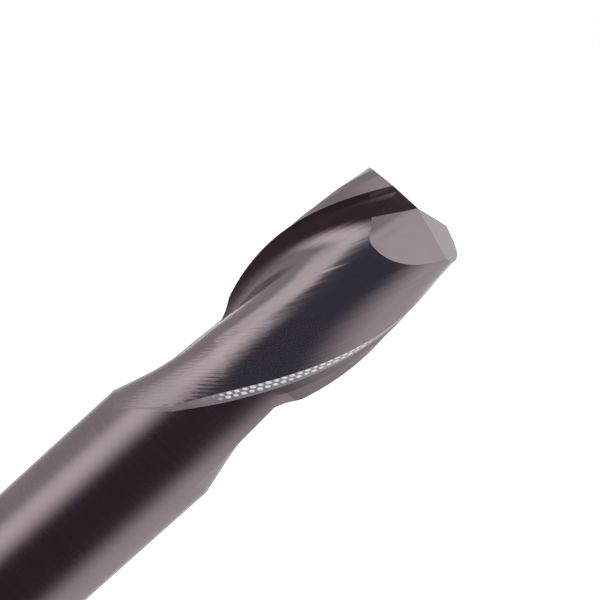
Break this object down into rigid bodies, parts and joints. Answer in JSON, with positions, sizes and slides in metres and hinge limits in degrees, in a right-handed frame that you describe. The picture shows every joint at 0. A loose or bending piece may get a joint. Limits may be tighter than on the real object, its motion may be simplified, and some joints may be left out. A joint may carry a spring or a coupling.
{
  "type": "end mill",
  "caption": "Square end mill with helical flutes, right-hand cut, coated carbide head brazed into a round steel shank.",
  "frame": {"origin": "centre of the shank's back face", "axes": "+Z along the tool's axis, from the shank towards the cutting end; the end cutting edges lie along X"},
  "size_m": [0.0064, 0.0064, 0.05],
  "materials": {
    "coated_carbide": "ground, violet-grey hard coating",
    "braze": "satin, silver-brass filler",
    "ground_steel": "centreless ground"
  },
  "bodies": {
    "root": {"fluted_head": "coated_carbide", "braze_joint": "braze", "shank": "ground_steel"}
  },
  "joints": []
}
